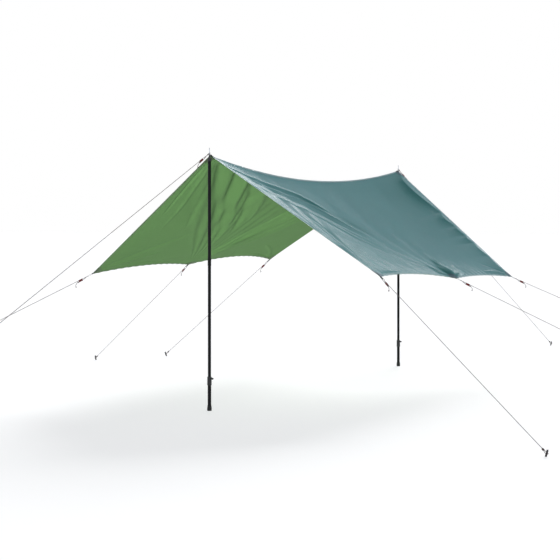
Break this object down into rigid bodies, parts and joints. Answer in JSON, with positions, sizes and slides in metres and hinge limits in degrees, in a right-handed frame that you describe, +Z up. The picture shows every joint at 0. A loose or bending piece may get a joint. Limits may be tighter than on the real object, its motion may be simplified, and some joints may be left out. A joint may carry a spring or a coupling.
{
  "type": "tarp shelter",
  "caption": "Open-sided tarp shelter: a two-sided coated-nylon canopy over two telescopic poles, held out by guy lines with sliders and ground stakes.",
  "frame": {"origin": "on the ground, midway between the two poles", "axes": "+Z up, +Y along the ridge from the front pole to the rear one, +X to the right seen from the front"},
  "size_m": [6.2413, 10.5451, 2.1733],
  "materials": {
    "canopy_cloth": "satin coated nylon, teal above and green below",
    "seam_tape": "flat-felled seam, satin",
    "hem_cloth": "folded hem, satin",
    "patch_cloth": "satin, stitched",
    "webbing": "woven, matte",
    "grommet_metal": "plated, satin",
    "spike_metal": "plated, satin",
    "moulded_black": "fine grain",
    "pole_tube": "black anodised, satin",
    "knob_black": "fine grain",
    "foot_rubber": "matte",
    "guy_cord": "braided",
    "slider_alloy": "anodised, satin",
    "stake_alloy": "anodised, satin"
  },
  "bodies": {
    "shelter": {"panel_left": "canopy_cloth", "panel_right": "canopy_cloth", "ridge_tape": "seam_tape", "side_hem_left": "hem_cloth", "side_hem_right": "hem_cloth", "front_hem_left": "hem_cloth", "front_hem_right": "hem_cloth", "rear_hem_left": "hem_cloth", "rear_hem_right": "hem_cloth", "tie_out_patches": "patch_cloth", "webbing_loops": "webbing", "front_peak_tab": "webbing", "front_grommet": "grommet_metal", "front_spike": "spike_metal", "front_top_cap": "moulded_black", "front_upper_tube": "pole_tube", "front_ferrule": "pole_tube", "front_middle_tube": "pole_tube", "rear_peak_tab": "webbing", "rear_grommet": "grommet_metal", "rear_spike": "spike_metal", "rear_top_cap": "moulded_black", "rear_upper_tube": "pole_tube", "rear_ferrule": "pole_tube", "rear_middle_tube": "pole_tube", "guy_front_left": "guy_cord", "guy_mid_left": "guy_cord", "guy_rear_left": "guy_cord", "guy_rear_right": "guy_cord", "guy_mid_right": "guy_cord", "guy_front_right": "guy_cord", "guy_front_pole": "guy_cord", "guy_rear_pole": "guy_cord"},
    "front_pole_foot": {"front_lower_tube": "pole_tube", "front_clamp_collar": "moulded_black", "front_foot": "foot_rubber"},
    "front_clamp_knob": {"front_clamp_screw": "knob_black"},
    "rear_pole_foot": {"rear_lower_tube": "pole_tube", "rear_clamp_collar": "moulded_black", "rear_foot": "foot_rubber"},
    "rear_clamp_knob": {"rear_clamp_screw": "knob_black"},
    "front_left_slider": {"slider_front_left": "slider_alloy"},
    "mid_left_slider": {"slider_mid_left": "slider_alloy"},
    "rear_left_slider": {"slider_rear_left": "slider_alloy"},
    "rear_right_slider": {"slider_rear_right": "slider_alloy"},
    "mid_right_slider": {"slider_mid_right": "slider_alloy"},
    "front_right_slider": {"slider_front_right": "slider_alloy"},
    "front_pole_slider": {"slider_front_pole": "slider_alloy"},
    "rear_pole_slider": {"slider_rear_pole": "slider_alloy"},
    "front_left_stake": {"stake_front_left": "stake_alloy"},
    "mid_left_stake": {"stake_mid_left": "stake_alloy"},
    "rear_left_stake": {"stake_rear_left": "stake_alloy"},
    "rear_right_stake": {"stake_rear_right": "stake_alloy"},
    "mid_right_stake": {"stake_mid_right": "stake_alloy"},
    "front_right_stake": {"stake_front_right": "stake_alloy"},
    "front_pole_stake": {"stake_front_pole": "stake_alloy"},
    "rear_pole_stake": {"stake_rear_pole": "stake_alloy"}
  },
  "joints": [
    {"name": "front_pole_slide", "type": "slide", "parent": "shelter", "child": "front_pole_foot", "axis": [0, 0, 1], "range_m": [0, 0.15]},
    {"name": "front_clamp_turn", "type": "hinge", "parent": "front_pole_foot", "child": "front_clamp_knob", "pos_m": [0, -2, 0.252], "axis": [1, 0, 0], "range_deg": [0, 360]},
    {"name": "rear_pole_slide", "type": "slide", "parent": "shelter", "child": "rear_pole_foot", "axis": [0, 0, 1], "range_m": [0, 0.15]},
    {"name": "rear_clamp_turn", "type": "hinge", "parent": "rear_pole_foot", "child": "rear_clamp_knob", "pos_m": [0, 2, 0.252], "axis": [1, 0, 0], "range_deg": [0, 360]},
    {"name": "front_left_slider_slide", "type": "slide", "parent": "shelter", "child": "front_left_slider", "axis": [-0.7433, -0.497, -0.4477], "range_m": [0, 0.25]},
    {"name": "mid_left_slider_slide", "type": "slide", "parent": "shelter", "child": "mid_left_slider", "axis": [-0.7527, 0.4949, -0.4343], "range_m": [0, 0.25]},
    {"name": "rear_left_slider_slide", "type": "slide", "parent": "shelter", "child": "rear_left_slider", "axis": [-0.79, 0.1457, -0.5956], "range_m": [0, 0.25]},
    {"name": "rear_right_slider_slide", "type": "slide", "parent": "shelter", "child": "rear_right_slider", "axis": [0.692, 0.6137, -0.3802], "range_m": [0, 0.25]},
    {"name": "mid_right_slider_slide", "type": "slide", "parent": "shelter", "child": "mid_right_slider", "axis": [0.7765, 0.4528, -0.4383], "range_m": [0, 0.25]},
    {"name": "front_right_slider_slide", "type": "slide", "parent": "shelter", "child": "front_right_slider", "axis": [0.6999, -0.5723, -0.4274], "range_m": [0, 0.25]},
    {"name": "front_pole_slider_slide", "type": "slide", "parent": "shelter", "child": "front_pole_slider", "axis": [-0.2018, -0.8402, -0.5034], "range_m": [0, 0.25]},
    {"name": "rear_pole_slider_slide", "type": "slide", "parent": "shelter", "child": "rear_pole_slider", "axis": [0.1833, 0.8327, -0.5224], "range_m": [0, 0.25]},
    {"name": "front_left_stake_pull", "type": "slide", "parent": "shelter", "child": "front_left_stake", "axis": [-0.3513, -0.2349, 0.9063], "range_m": [0, 0.15]},
    {"name": "mid_left_stake_pull", "type": "slide", "parent": "shelter", "child": "mid_left_stake", "axis": [-0.3531, 0.2322, 0.9063], "range_m": [0, 0.15]},
    {"name": "rear_left_stake_pull", "type": "slide", "parent": "shelter", "child": "rear_left_stake", "axis": [-0.4156, 0.0766, 0.9063], "range_m": [0, 0.15]},
    {"name": "rear_right_stake_pull", "type": "slide", "parent": "shelter", "child": "rear_right_stake", "axis": [0.3162, 0.2804, 0.9063], "range_m": [0, 0.15]},
    {"name": "mid_right_stake_pull", "type": "slide", "parent": "shelter", "child": "mid_right_stake", "axis": [0.3651, 0.2129, 0.9063], "range_m": [0, 0.15]},
    {"name": "front_right_stake_pull", "type": "slide", "parent": "shelter", "child": "front_right_stake", "axis": [0.3272, -0.2675, 0.9063], "range_m": [0, 0.15]},
    {"name": "front_pole_stake_pull", "type": "slide", "parent": "shelter", "child": "front_pole_stake", "axis": [-0.0987, -0.4109, 0.9063], "range_m": [0, 0.15]},
    {"name": "rear_pole_stake_pull", "type": "slide", "parent": "shelter", "child": "rear_pole_stake", "axis": [0.0909, 0.4127, 0.9063], "range_m": [0, 0.15]}
  ]
}
